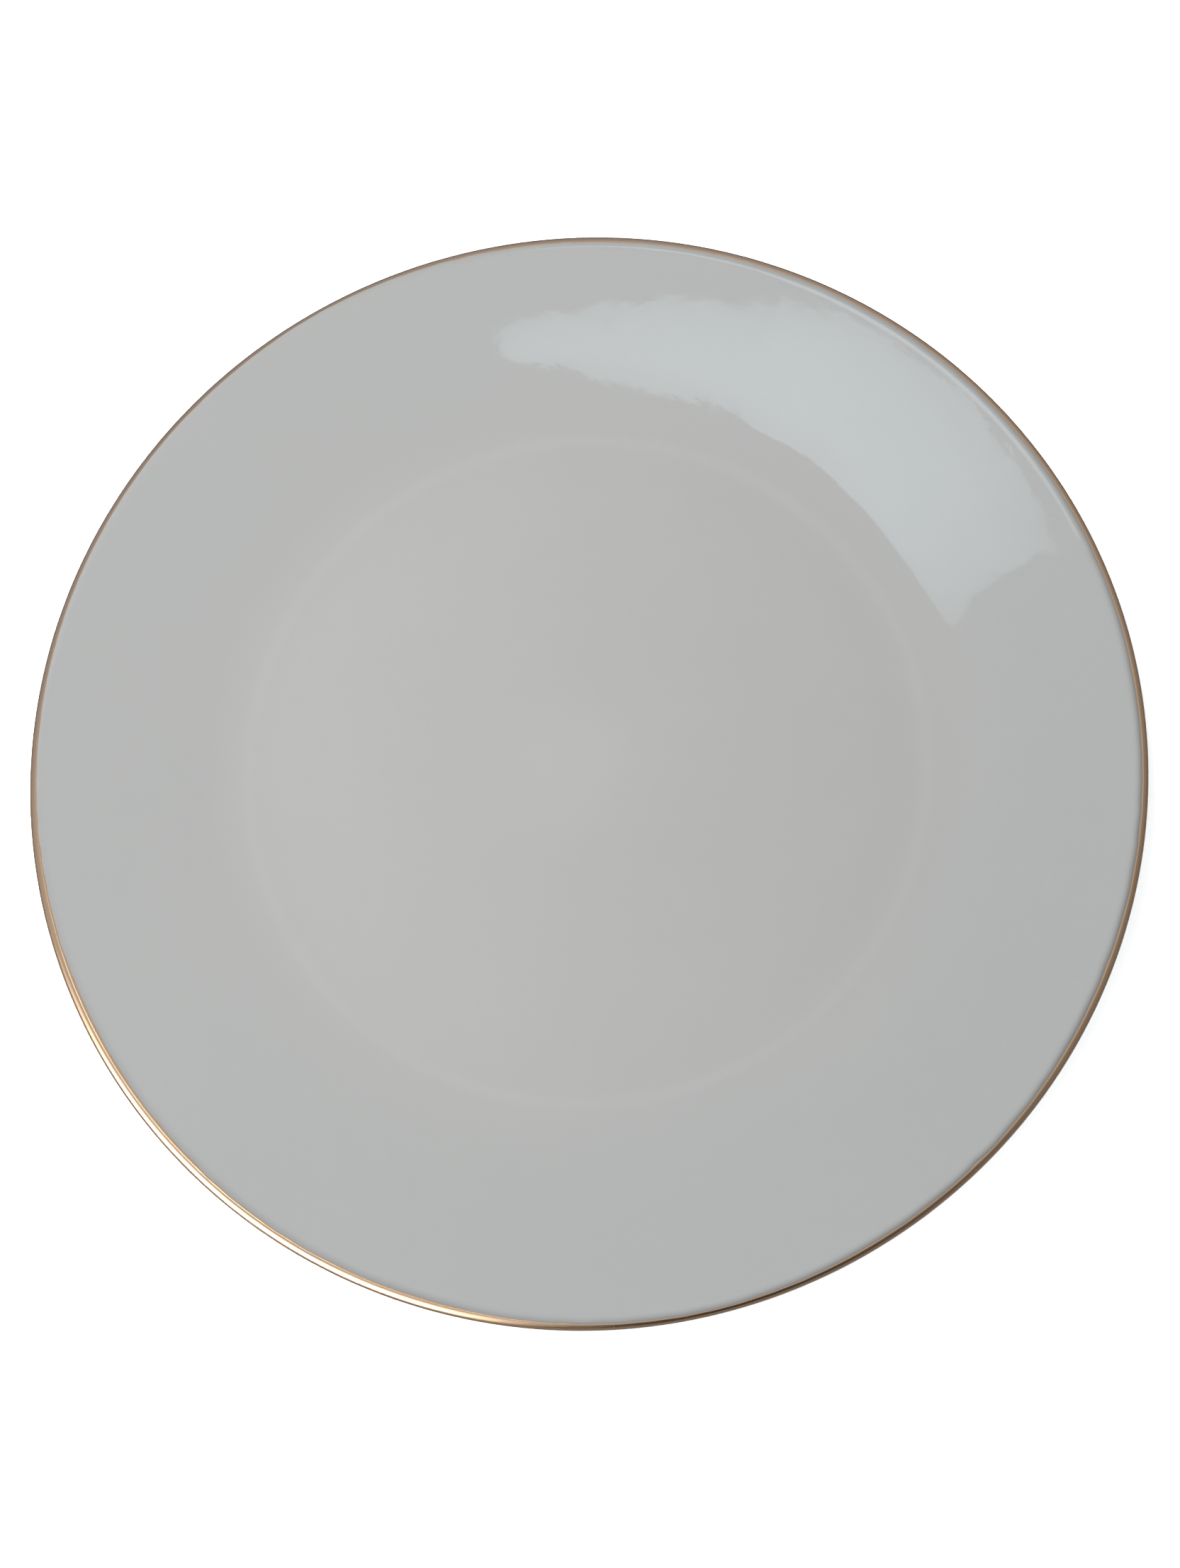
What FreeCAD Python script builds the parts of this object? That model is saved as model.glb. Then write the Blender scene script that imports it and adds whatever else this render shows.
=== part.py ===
import FreeCAD, Part
import math
import os
import Sketcher

# A coupe dinner plate: one revolved porcelain body with a foot ring, two coats of glaze and a
# gold line round the lip. Millimetres, +Z up, origin on the axis at the foot's ground face.

SIZES = {
    "plate_diameter": 267.0,  # over the gold at the lip
    "plate_height": 25.0,  # from the foot to the top of the lip, over the gold
    "glaze_thickness": 0.2,
    "gold_thickness": 0.15,
    "gold_width": 2.6,  # radial width of the gold on the face, in from the lip's outermost edge
    "gold_back_width": 1.5,  # the same on the back
    "side_width": 56.2,  # radial width from the edge of the flat floor to the lip
    "floor_thickness": 4.0,
    "wall_thickness": 4.0,  # of the bend between the floor and the side
    "knuckle_radius": 58.0,  # face of that bend
    "side_radius": 320.0,  # face of the rising side
    "shoulder_radius": 5.0,  # where the side rolls over into the lip
    "lip_radius": 2.0,
    "lip_land": 0.3,  # upright height of the lip's outermost edge
    "lip_under_radius": 0.8,
    "lip_slope": 12.0,  # degrees, slope of the face where the lip's rounding starts
    "foot_recess": 3.0,  # height of the underside inside the foot ring
    "foot_set_out": 0.6,  # outer edge of the foot's ground face, out from the floor's edge
    "foot_land": 2.4,  # width of the ground face that the plate stands on
    "foot_draft": 14.0,  # degrees, both sides of the foot, off the vertical
    "toe_radius": 0.7,
    "foot_root_radius": 1.6,
}

SKIN = "(sizes.glaze_thickness + sizes.gold_thickness)"
BODY_RADIUS = "(sizes.plate_diameter / 2 - %s)" % SKIN
FLOOR_RADIUS = "(%s - sizes.side_width)" % BODY_RADIUS
GROUND_RADIUS = "(%s + sizes.foot_set_out)" % FLOOR_RADIUS
LIP_HEIGHT = "sizes.plate_height - %s - sizes.lip_radius" % SKIN

GLAZED_RUN = (
    "foot_out", "root_out", "back_knuckle", "back_side", "lip_under", "lip_edge",
    "lip_top", "shoulder", "side", "knuckle", "floor",
)
FOOT_WELL_RUN = ("foot_in", "root_in", "underside")
LIP_RUN = ("back_side", "lip_under", "lip_edge", "lip_top", "shoulder", "side")

START, END, CENTRE = 1, 2, 3
X_AXIS, Y_AXIS, ORIGIN_POINT = -1, -2, (-1, 1)
PLATE_AXIS = FreeCAD.Vector(0, 0, 1)
UPRIGHT = FreeCAD.Placement(FreeCAD.Vector(), FreeCAD.Rotation(FreeCAD.Vector(1, 0, 0), 90))


def make_sheet(doc):
    sheet = doc.addObject("Spreadsheet::Sheet", "sizes")
    for row, (name, value) in enumerate(SIZES.items(), start=1):
        sheet.set("A%d" % row, name)
        sheet.set("B%d" % row, str(value))
        sheet.setAlias("B%d" % row, name)
    doc.recompute()
    return sheet


def heading(degrees):
    """Unit vector in the half-section, turned from the radial direction towards the plate's top."""
    turn = math.radians(degrees)
    return FreeCAD.Vector(math.cos(turn), math.sin(turn), 0)


def turn_of(vector):
    return math.degrees(math.atan2(vector.y, vector.x))


def crossing(centre_a, reach_a, centre_b, reach_b):
    """The upper of the two points that lie reach_a from centre_a and reach_b from centre_b."""
    apart = centre_b - centre_a
    along = (apart.Length**2 + reach_a**2 - reach_b**2) / (2 * apart.Length)
    aside = math.sqrt(reach_a**2 - along**2)
    forward = apart / apart.Length
    return centre_a + forward * along + FreeCAD.Vector(-forward.y, forward.x, 0) * aside


def first_on_line(start, way, centre, reach):
    """The first point on the line from start along way that lies reach from centre."""
    offset = start - centre
    middle = offset.dot(way)
    return start - way * (middle + math.sqrt(middle**2 - offset.dot(offset) + reach**2))


class Outline:
    """A half-section drawn in order, with its corners joined and its sizes tied to the sheet."""

    def __init__(self, sketch):
        self.sketch = sketch
        self.index = {}
        self.first = {}
        self.last = {}

    def line(self, name, start, end):
        self.index[name] = self.sketch.addGeometry(Part.LineSegment(start, end), False)
        self.first[name], self.last[name] = START, END

    def arc(self, name, centre, radius, start, end):
        """An arc from one heading to another, in degrees. A falling heading makes a hollow."""
        circle = Part.Circle(centre, PLATE_AXIS, radius)
        low, high = sorted((math.radians(start), math.radians(end)))
        self.index[name] = self.sketch.addGeometry(Part.ArcOfCircle(circle, low, high), False)
        rising = end > start
        self.first[name], self.last[name] = (START, END) if rising else (END, START)

    def rule(self, kind, *values):
        return self.sketch.addConstraint(Sketcher.Constraint(kind, *values))

    def size(self, formula, kind, *values):
        at = self.rule(kind, *values)
        self.sketch.setExpression("Constraints[%d]" % at, formula)

    def radius(self, name, formula):
        arc = self.index[name]
        self.size(formula, "Radius", arc, self.sketch.Geometry[arc].Radius)

    def place(self, kind, name, point, value, formula):
        """The distance of a point from the plate's axis or from the ground."""
        self.size(formula, kind, *ORIGIN_POINT, self.index[name], point, value)

    def join(self, names, kind):
        for name, following in zip(names, names[1:]):
            self.rule(kind, self.index[name], self.last[name], self.index[following], self.first[following])

    def keep(self, run):
        """Leaves only the named stretch as an open line, and the rest as construction."""
        for name, at in self.index.items():
            if name not in run:
                self.sketch.setConstruction(at, True)


def draw_porcelain(sketch, sheet):
    """The porcelain's half-section, from the axis along the underside and back over the face."""
    size = {name: sheet.get(name) for name in SIZES}
    skin = size["glaze_thickness"] + size["gold_thickness"]
    edge, top = size["plate_diameter"] / 2 - skin, size["plate_height"] - skin
    floor_radius = edge - size["side_width"]
    recess = size["foot_recess"]
    floor_height = recess + size["floor_thickness"]
    knuckle, side, wall = size["knuckle_radius"], size["side_radius"], size["wall_thickness"]
    lip, under, shoulder = size["lip_radius"], size["lip_under_radius"], size["shoulder_radius"]
    lip_turn = 90 + size["lip_slope"]
    toe, root, draft = size["toe_radius"], size["foot_root_radius"], size["foot_draft"]
    point = FreeCAD.Vector

    lip_at = point(edge - lip, top - lip)
    under_at = point(edge - under, lip_at.y - size["lip_land"])
    shoulder_at = lip_at - heading(lip_turn) * (shoulder - lip)
    knuckle_at = point(floor_radius, floor_height + knuckle)
    side_at = crossing(knuckle_at, side - knuckle, shoulder_at, side + shoulder)
    back_at = crossing(knuckle_at, side - knuckle, under_at, side + wall - under)
    ground_out = floor_radius + size["foot_set_out"]
    toe_out_at = point(ground_out, toe)
    toe_in_at = point(ground_out - size["foot_land"], toe)
    outwards, inwards = heading(-draft), heading(180 + draft)
    root_out_at = first_on_line(
        toe_out_at + outwards * (toe + root), heading(90 - draft), knuckle_at, knuckle + wall + root
    )
    root_in_at = toe_in_at + inwards * (toe + root)
    root_in_at += heading(90 + draft) * ((recess - root - root_in_at.y) / heading(90 + draft).y)
    root_turn = turn_of(knuckle_at - root_out_at)

    o = Outline(sketch)
    o.line("underside", point(0, recess), point(root_in_at.x, recess))
    o.arc("root_in", root_in_at, root, 90, draft)
    o.line("foot_in", root_in_at - inwards * root, toe_in_at + inwards * toe)
    o.arc("toe_in", toe_in_at, toe, 180 + draft, 270)
    o.line("ground", point(toe_in_at.x, 0), point(ground_out, 0))
    o.arc("toe_out", toe_out_at, toe, 270, 360 - draft)
    o.line("foot_out", toe_out_at + outwards * toe, root_out_at - outwards * root)
    o.arc("root_out", root_out_at, root, 180 - draft, root_turn)
    o.arc("back_knuckle", knuckle_at, knuckle + wall, root_turn + 180, turn_of(knuckle_at - back_at) + 360)
    o.arc("back_side", back_at, side + wall, turn_of(knuckle_at - back_at), turn_of(under_at - back_at))
    o.arc("lip_under", under_at, under, turn_of(under_at - back_at), 0)
    o.line("lip_edge", point(edge, under_at.y), point(edge, lip_at.y))
    o.arc("lip_top", lip_at, lip, 0, lip_turn)
    o.arc("shoulder", shoulder_at, shoulder, lip_turn, turn_of(shoulder_at - side_at) + 180)
    o.arc("side", side_at, side, turn_of(shoulder_at - side_at), turn_of(knuckle_at - side_at))
    o.arc("knuckle", knuckle_at, knuckle, turn_of(knuckle_at - side_at), -90)
    o.line("floor", point(floor_radius, floor_height), point(0, floor_height))
    o.line("axis", point(0, floor_height), point(0, recess))

    names = list(o.index)
    o.join(names[:-1], "Tangent")
    o.join(names[-2:] + names[:1], "Coincident")
    for level in ("underside", "floor"):
        o.rule("Horizontal", o.index[level])
    o.rule("Vertical", o.index["lip_edge"])
    o.rule("PointOnObject", o.index["axis"], START, Y_AXIS)
    o.rule("PointOnObject", o.index["axis"], END, Y_AXIS)
    o.rule("PointOnObject", o.index["ground"], START, X_AXIS)
    o.rule("PointOnObject", o.index["ground"], END, X_AXIS)

    o.place("DistanceY", "underside", START, recess, "sizes.foot_recess")
    o.place("DistanceY", "floor", END, floor_height, "sizes.foot_recess + sizes.floor_thickness")
    o.place("DistanceX", "floor", START, floor_radius, FLOOR_RADIUS)
    o.place("DistanceX", "lip_edge", END, edge, BODY_RADIUS)
    o.place("DistanceY", "lip_top", CENTRE, lip_at.y, LIP_HEIGHT)
    o.place("DistanceX", "ground", END, ground_out, GROUND_RADIUS)
    o.place("DistanceX", "ground", START, toe_in_at.x, "%s - sizes.foot_land" % GROUND_RADIUS)
    edge_line = o.index["lip_edge"]
    o.size("sizes.lip_land", "DistanceY", edge_line, START, edge_line, END, size["lip_land"])
    o.size("(90 + sizes.lip_slope) * 1 deg", "Angle", o.index["lip_top"], math.radians(lip_turn))
    o.size("(90 - sizes.foot_draft) * 1 deg", "Angle", o.index["toe_in"], math.radians(90 - draft))
    o.size("(90 - sizes.foot_draft) * 1 deg", "Angle", o.index["toe_out"], math.radians(90 - draft))
    for name, formula in (
        ("root_in", "sizes.foot_root_radius"),
        ("toe_in", "sizes.toe_radius"),
        ("toe_out", "sizes.toe_radius"),
        ("root_out", "sizes.foot_root_radius"),
        ("back_knuckle", "sizes.knuckle_radius + sizes.wall_thickness"),
        ("back_side", "sizes.side_radius + sizes.wall_thickness"),
        ("lip_under", "sizes.lip_under_radius"),
        ("lip_top", "sizes.lip_radius"),
        ("shoulder", "sizes.shoulder_radius"),
        ("side", "sizes.side_radius"),
        ("knuckle", "sizes.knuckle_radius"),
    ):
        o.radius(name, formula)
    o.rule("Coincident", o.index["back_knuckle"], CENTRE, o.index["knuckle"], CENTRE)
    return o


def make_body(doc, sheet, name):
    """The fired porcelain, turned as one piece."""
    body = doc.addObject("PartDesign::Body", name)
    plane = next(f for f in body.Origin.OriginFeatures if f.Role == "XZ_Plane")
    sketch = body.newObject("Sketcher::SketchObject", "porcelain_section")
    sketch.AttachmentSupport = (plane, [""])
    sketch.MapMode = "FlatFace"
    draw_porcelain(sketch, sheet)
    turned = body.newObject("PartDesign::Revolution", "porcelain_turned")
    turned.Profile = sketch
    turned.ReferenceAxis = (sketch, ["V_Axis"])
    turned.Angle = 360
    body.Tip = turned
    return body


def lay_over(doc, name, line, thickness, filled):
    """An open line of the half-section moved outwards, or the layer between the two places."""
    layer = doc.addObject("Part::Offset2D", name)
    layer.Source = line
    layer.Mode = "Skin"
    layer.Join = "Arc"
    layer.Fill = filled
    layer.setExpression("Value", "-" + thickness)
    return layer


def turn_round(doc, name, section):
    turned = doc.addObject("Part::Revolution", name)
    turned.Source = section
    turned.Axis = PLATE_AXIS
    turned.Angle = 360
    turned.Solid = True
    return turned


def draw_run(doc, sheet, name, run):
    """One stretch of the porcelain's outline, as a line for a coat to lie on."""
    sketch = doc.addObject("Sketcher::SketchObject", name + "_line")
    sketch.Placement = UPRIGHT
    draw_porcelain(sketch, sheet).keep(run)
    return sketch


def make_coat(doc, sheet, name, run):
    """A coat of glaze on one stretch of the porcelain."""
    line = draw_run(doc, sheet, name, run)
    section = lay_over(doc, name + "_section", line, "sizes.glaze_thickness", True)
    return turn_round(doc, name, section)


def trim_section(doc, name, section, radius, height):
    """Takes off a half-section what lies nearer to the axis than a radius, up to a height."""
    inner = doc.addObject("Part::Plane", name + "_inner")
    inner.Placement = UPRIGHT
    inner.setExpression("Length", radius)
    inner.setExpression("Width", height)
    trimmed = doc.addObject("Part::Cut", name)
    trimmed.Base = section
    trimmed.Tool = inner
    return trimmed


def make_gold(doc, sheet, name):
    """The film of gold on the glaze, round the lip and a little way on to the face and the back."""
    line = draw_run(doc, sheet, name, LIP_RUN)
    glazed = lay_over(doc, name + "_glazed", line, "sizes.glaze_thickness", False)
    film = lay_over(doc, name + "_section", glazed, "sizes.gold_thickness", True)
    edge = "sizes.plate_diameter / 2 - "
    film = trim_section(doc, name + "_face_end", film, edge + "sizes.gold_width", "sizes.plate_height")
    film = trim_section(doc, name + "_back_end", film, edge + "sizes.gold_back_width", LIP_HEIGHT)
    return turn_round(doc, name, film)


def check(doc, parts):
    """Stops before anything is written if an object failed or a piece isn't one sound solid."""
    failed = [item.Name for item in doc.Objects if {"Invalid", "Error"} & set(item.State)]
    failed += [part.Label for part in parts if part.Shape.isNull() or not part.Shape.isValid()]
    failed += [part.Label for part in parts if len(part.Shape.Solids) != 1]
    if failed:
        raise RuntimeError("not built: " + ", ".join(failed))


def main():
    doc = FreeCAD.newDocument("dinner_plate")
    sheet = make_sheet(doc)
    parts = [
        make_body(doc, sheet, "porcelain_body"),
        make_coat(doc, sheet, "glaze_coat", GLAZED_RUN),
        make_coat(doc, sheet, "foot_well_glaze", FOOT_WELL_RUN),
        make_gold(doc, sheet, "gold_rim_line"),
    ]
    doc.recompute()
    check(doc, parts)
    os.makedirs("parts", exist_ok=True)
    for part in parts:
        part.Shape.exportStep("parts/%s.step" % part.Label)
        print("%-16s %9.1f mm3" % (part.Label, part.Shape.Volume))


main()
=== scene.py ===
import math

import bpy
import numpy as np
from bpy.props import FloatProperty, FloatVectorProperty, PointerProperty
from mathutils import Matrix, Vector


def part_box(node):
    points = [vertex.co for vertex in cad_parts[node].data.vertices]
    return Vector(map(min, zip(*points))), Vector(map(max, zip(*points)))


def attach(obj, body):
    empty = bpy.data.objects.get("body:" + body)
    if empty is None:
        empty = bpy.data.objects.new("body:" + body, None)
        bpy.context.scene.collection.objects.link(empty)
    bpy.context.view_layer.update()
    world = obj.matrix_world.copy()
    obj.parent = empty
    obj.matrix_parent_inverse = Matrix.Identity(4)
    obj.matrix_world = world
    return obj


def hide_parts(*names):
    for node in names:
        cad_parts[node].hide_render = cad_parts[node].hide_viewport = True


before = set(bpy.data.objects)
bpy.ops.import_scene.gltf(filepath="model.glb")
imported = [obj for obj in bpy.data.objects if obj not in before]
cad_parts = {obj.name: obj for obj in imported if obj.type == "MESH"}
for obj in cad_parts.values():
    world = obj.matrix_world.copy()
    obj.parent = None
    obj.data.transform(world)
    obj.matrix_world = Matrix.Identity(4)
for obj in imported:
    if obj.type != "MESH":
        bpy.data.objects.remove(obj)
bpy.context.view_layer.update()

bl_info = {
    "name": "Gold-lined dinner plate",
    "version": (1, 0, 0),
    "blender": (4, 5, 0),
    "location": "View3D > Sidebar > Plate",
    "description": "A glazed coupe dinner plate with a gold line round the lip",
    "category": "Add Mesh",
}

MM = 0.001
_, BODY_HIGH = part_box("porcelain_body")
_, GLAZE_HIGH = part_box("glaze_coat")
_, WELL_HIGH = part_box("foot_well_glaze")

# Stretches of the half-section, in the order in which it is walked.
OUTER_RUN = (
    "foot_out", "root_out", "back_knuckle", "back_side", "lip_under", "lip_edge",
    "lip_top", "shoulder", "side", "knuckle", "floor",
)
WELL_RUN = ("underside", "root_in", "foot_in")
FOOT_RUN = ("toe_in", "ground", "toe_out")
WHOLE_RUN = WELL_RUN + FOOT_RUN + OUTER_RUN
LIP_RUN = ("back_side", "lip_under", "lip_edge", "lip_top", "shoulder", "side")


# -------- what a user would change


class PlateShape(bpy.types.PropertyGroup):
    """Sizes of the bare porcelain's half-section. The first three come from the frame."""

    edge_radius: FloatProperty(
        name="Edge radius", description="Radius of the bare porcelain at the lip",
        default=BODY_HIGH.x, unit="LENGTH")
    top_height: FloatProperty(
        name="Lip height", description="Height of the bare porcelain at the lip",
        default=BODY_HIGH.z, unit="LENGTH")
    foot_recess: FloatProperty(
        name="Foot recess", description="Height of the underside inside the foot ring",
        default=WELL_HIGH.z, unit="LENGTH")
    side_width: FloatProperty(
        name="Side width", description="From the edge of the flat floor out to the lip",
        default=56.2 * MM, unit="LENGTH")
    floor_thickness: FloatProperty(
        name="Floor thickness", description="Porcelain between the floor and the underside",
        default=4.0 * MM, unit="LENGTH")
    wall_thickness: FloatProperty(
        name="Wall thickness", description="Porcelain at the bend between floor and side",
        default=4.0 * MM, unit="LENGTH")
    knuckle_radius: FloatProperty(
        name="Knuckle radius", description="Face of the bend between floor and side",
        default=58.0 * MM, unit="LENGTH")
    side_radius: FloatProperty(
        name="Side radius", description="Face of the rising side",
        default=320.0 * MM, unit="LENGTH")
    shoulder_radius: FloatProperty(
        name="Shoulder radius", description="Where the side rolls over into the lip",
        default=2.5 * MM, unit="LENGTH")
    lip_radius: FloatProperty(
        name="Lip radius", description="Rounding of the lip's top", default=2.0 * MM, unit="LENGTH")
    lip_land: FloatProperty(
        name="Lip land", description="Upright height of the outermost edge",
        default=0.3 * MM, unit="LENGTH")
    lip_under_radius: FloatProperty(
        name="Lip under radius", description="Rounding of the lip's back edge",
        default=0.8 * MM, unit="LENGTH")
    lip_slope: FloatProperty(
        name="Lip slope", description="Slope of the face where the lip's rounding starts",
        default=math.radians(12.0), subtype="ANGLE")
    foot_set_out: FloatProperty(
        name="Foot set-out", description="Ground face's outer edge, out from the floor's edge",
        default=0.6 * MM, unit="LENGTH")
    foot_land: FloatProperty(
        name="Foot land", description="Width of the ground face", default=2.4 * MM, unit="LENGTH")
    foot_draft: FloatProperty(
        name="Foot draft", description="Lean of both sides of the foot",
        default=math.radians(14.0), subtype="ANGLE")
    toe_radius: FloatProperty(
        name="Toe radius", description="Rounding at the ground face",
        default=0.7 * MM, unit="LENGTH")
    root_radius: FloatProperty(
        name="Root radius", description="Fillet where the foot meets the plate",
        default=1.6 * MM, unit="LENGTH")


class PlateSkins(bpy.types.PropertyGroup):
    """Thicknesses and edges of the glaze and the gold."""

    glaze_thickness: FloatProperty(
        name="Glaze", description="Even thickness of the glaze",
        default=GLAZE_HIGH.x - BODY_HIGH.x, unit="LENGTH")
    glaze_sag: FloatProperty(
        name="Glaze pooling", description="Extra glaze in the corner above the foot",
        default=0.10 * MM, unit="LENGTH")
    gold_thickness: FloatProperty(
        name="Gold", description="Thickness of the gold film", default=0.03 * MM, unit="LENGTH")
    gold_face_width: FloatProperty(
        name="Gold on the face", description="Mean width in from the outermost edge",
        default=2.20 * MM, unit="LENGTH")
    gold_back_width: FloatProperty(
        name="Gold on the back", description="Mean width in from the outermost edge",
        default=1.45 * MM, unit="LENGTH")
    warp: FloatProperty(
        name="Firing warp", description="How far the lip wanders up and down",
        default=0.05 * MM, unit="LENGTH")
    ripple: FloatProperty(
        name="Ripple", description="Height of the glaze's slow waves", default=0.003 * MM,
        unit="LENGTH")


class PlateColours(bpy.types.PropertyGroup):
    """Colours of the finishes and of the floor."""

    china: FloatVectorProperty(
        name="China", description="White porcelain seen through the glaze", subtype="COLOR",
        size=3, min=0, max=1, default=(0.792, 0.792, 0.770))
    # Painted shade with a cool tint, laid on the china towards the rim; the random mottling also
    # mixes towards this colour.
    china_rim_shade_and_mottle: FloatVectorProperty(
        name="China, thicker glaze", description="Where the glaze lies thicker", subtype="COLOR",
        size=3, min=0, max=1, default=(0.745, 0.762, 0.752))
    bisque: FloatVectorProperty(
        name="Bare porcelain", description="The ground foot face", subtype="COLOR",
        size=3, min=0, max=1, default=(0.70, 0.66, 0.58))
    gold: FloatVectorProperty(
        name="Gold", description="Bright fired gold", subtype="COLOR",
        size=3, min=0, max=1, default=(0.88, 0.60, 0.39))
    gold_thin: FloatVectorProperty(
        name="Gold, thin", description="Gold where the film runs out", subtype="COLOR",
        size=3, min=0, max=1, default=(0.60, 0.38, 0.20))
    floor: FloatVectorProperty(
        name="Floor", description="Pale floor", subtype="COLOR",
        size=3, min=0, max=1, default=(0.90, 0.90, 0.90))


class PlateStudio(bpy.types.PropertyGroup):
    """Floor, lights and camera."""

    room_radius: FloatProperty(
        name="Room radius", description="Reach of the floor and of the soft room", default=2.8,
        unit="LENGTH")
    room_light: FloatProperty(
        name="Room light", description="Even light of the soft room", default=0.275)
    room_lean: FloatProperty(
        name="Room lean", description="How much brighter the soft room is towards +X and -Y",
        default=0.28)
    overhead_glow: FloatProperty(
        name="Overhead", description="Mirrored brightness straight above", default=0.5)
    fill_light: FloatProperty(
        name="Fill", description="Brightness of the near soft panel", default=3.35)
    window_light: FloatProperty(
        name="Window light", description="Brightness of the window", default=2.2)
    lamp_light: FloatProperty(
        name="Lamp light", description="How much brighter the weak lamp is than the room above",
        default=0.4)
    window_height: FloatProperty(
        name="Window height", description="Height of the window over the floor", default=2.0,
        unit="LENGTH")
    floor_lift: FloatProperty(
        name="Floor lift", description="How much paler the floor looks than it lights", default=4.2)
    floor_drop: FloatProperty(
        name="Floor drop", description="How much darker the floor is mirrored", default=0.6)
    camera_place: FloatVectorProperty(
        name="Camera", description="Where the camera stands", subtype="TRANSLATION",
        default=(0.02578, -0.08562, 0.37584))
    camera_aim: FloatVectorProperty(
        name="Aim", description="The point the camera looks at", subtype="TRANSLATION",
        default=(0.00333, -0.01053, 0.025))
    lens: FloatProperty(name="Lens", description="Focal length", default=35.0, unit="CAMERA")


# -------- the turned outline


def heading(angle):
    """Unit vector in the half-section, turned from the radial direction upwards: (cos, sin)."""
    return np.array([math.cos(angle), math.sin(angle)])


def turn_of(vector):
    """A vector's angle from the radial direction: the arctangent of its rise over its run."""
    return math.atan2(vector[1], vector[0])


def crossing(centre_a, reach_a, centre_b, reach_b):
    """The upper point reach_a from centre_a and reach_b from centre_b, by the cosine rule."""
    apart = centre_b - centre_a
    distance = np.linalg.norm(apart)
    along = (distance**2 + reach_a**2 - reach_b**2) / (2 * distance)
    aside = math.sqrt(reach_a**2 - along**2)
    forward = apart / distance
    return centre_a + forward * along + np.array([-forward[1], forward[0]]) * aside


def first_on_line(start, way, centre, reach):
    """First point start + k way that lies reach from centre, from the quadratic in k."""
    offset = start - centre
    middle = offset @ way
    return start - way * (middle + math.sqrt(middle**2 - offset @ offset + reach**2))


def half_section(p):
    """The porcelain's outline: out along the underside, round the lip and back over the face.

    Each arc is (centre, radius, first heading, last heading); a falling heading makes a hollow.
    Each line is (first point, last point). Neighbours touch with one common tangent.
    """
    quarter = math.pi / 2
    edge, top, recess = p.edge_radius, p.top_height, p.foot_recess
    floor_radius, floor_height = edge - p.side_width, recess + p.floor_thickness
    knuckle, side, wall = p.knuckle_radius, p.side_radius, p.wall_thickness
    lip, under, shoulder = p.lip_radius, p.lip_under_radius, p.shoulder_radius
    toe, root, draft = p.toe_radius, p.root_radius, p.foot_draft
    lip_turn = quarter + p.lip_slope
    lip_at = np.array([edge - lip, top - lip])
    under_at = np.array([edge - under, lip_at[1] - p.lip_land])
    shoulder_at = lip_at - heading(lip_turn) * (shoulder - lip)
    knuckle_at = np.array([floor_radius, floor_height + knuckle])
    side_at = crossing(knuckle_at, side - knuckle, shoulder_at, side + shoulder)
    back_at = crossing(knuckle_at, side - knuckle, under_at, side + wall - under)
    toe_out_at = np.array([floor_radius + p.foot_set_out, toe])
    toe_in_at = toe_out_at - [p.foot_land, 0]
    outwards, inwards = heading(-draft), heading(math.pi + draft)
    root_out_at = first_on_line(
        toe_out_at + outwards * (toe + root), heading(quarter - draft),
        knuckle_at, knuckle + wall + root)
    up_inside = heading(quarter + draft)
    root_in_at = toe_in_at + inwards * (toe + root)
    root_in_at = root_in_at + up_inside * ((recess - root - root_in_at[1]) / up_inside[1])
    root_turn = turn_of(knuckle_at - root_out_at)
    back_turn, back_end = turn_of(knuckle_at - back_at), turn_of(under_at - back_at)
    side_turn, side_end = turn_of(shoulder_at - side_at), turn_of(knuckle_at - side_at)
    full = 2 * math.pi
    return {
        "underside": (np.array([0, recess]), np.array([root_in_at[0], recess])),
        "root_in": (root_in_at, root, quarter, draft),
        "foot_in": (root_in_at - inwards * root, toe_in_at + inwards * toe),
        "toe_in": (toe_in_at, toe, math.pi + draft, 3 * quarter),
        "ground": (toe_in_at - [0, toe], toe_out_at - [0, toe]),
        "toe_out": (toe_out_at, toe, 3 * quarter, full - draft),
        "foot_out": (toe_out_at + outwards * toe, root_out_at - outwards * root),
        "root_out": (root_out_at, root, math.pi - draft, root_turn),
        "back_knuckle": (knuckle_at, knuckle + wall, root_turn + math.pi, back_turn + full),
        "back_side": (back_at, side + wall, back_turn, back_end),
        "lip_under": (under_at, under, back_end, 0.0),
        "lip_edge": (np.array([edge, under_at[1]]), np.array([edge, lip_at[1]])),
        "lip_top": (lip_at, lip, 0.0, lip_turn),
        "shoulder": (shoulder_at, shoulder, lip_turn, side_turn + math.pi),
        "side": (side_at, side, side_turn, side_end),
        "knuckle": (knuckle_at, knuckle, side_end, -quarter),
        "floor": (np.array([floor_radius, floor_height]), np.array([0, floor_height])),
    }


def trace(section, run, step, turn_step):
    """Points and outward normals along a run: lines by equal steps, arcs by equal turns.

    A point of an arc is centre + radius (cos a, sin a); its normal is (cos a, sin a), or the
    opposite in a hollow. The run goes round the section with the porcelain on its left.
    """
    points, normals = [], []
    for name in run:
        part = section[name]
        if len(part) == 2:
            start, end = part
            way = (end - start) / np.linalg.norm(end - start)
            count = max(1, math.ceil(np.linalg.norm(end - start) / step))
            share = np.linspace(0, 1, count + 1)[:, None]
            points.append(start + share * (end - start))
            normals.append(np.tile([way[1], -way[0]], (count + 1, 1)))
        else:
            centre, radius, first, last = part
            sweep = abs(last - first)
            count = max(2, math.ceil(sweep / turn_step), math.ceil(sweep * radius / step))
            angle = np.linspace(first, last, count + 1)
            ray = np.stack([np.cos(angle), np.sin(angle)], 1)
            points.append(centre + radius * ray)
            normals.append(ray if last > first else -ray)
    keep = [slice(None)] + [slice(1, None)] * (len(run) - 1)
    return (np.concatenate([a[k] for a, k in zip(points, keep)]),
            np.concatenate([a[k] for a, k in zip(normals, keep)]))


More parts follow.
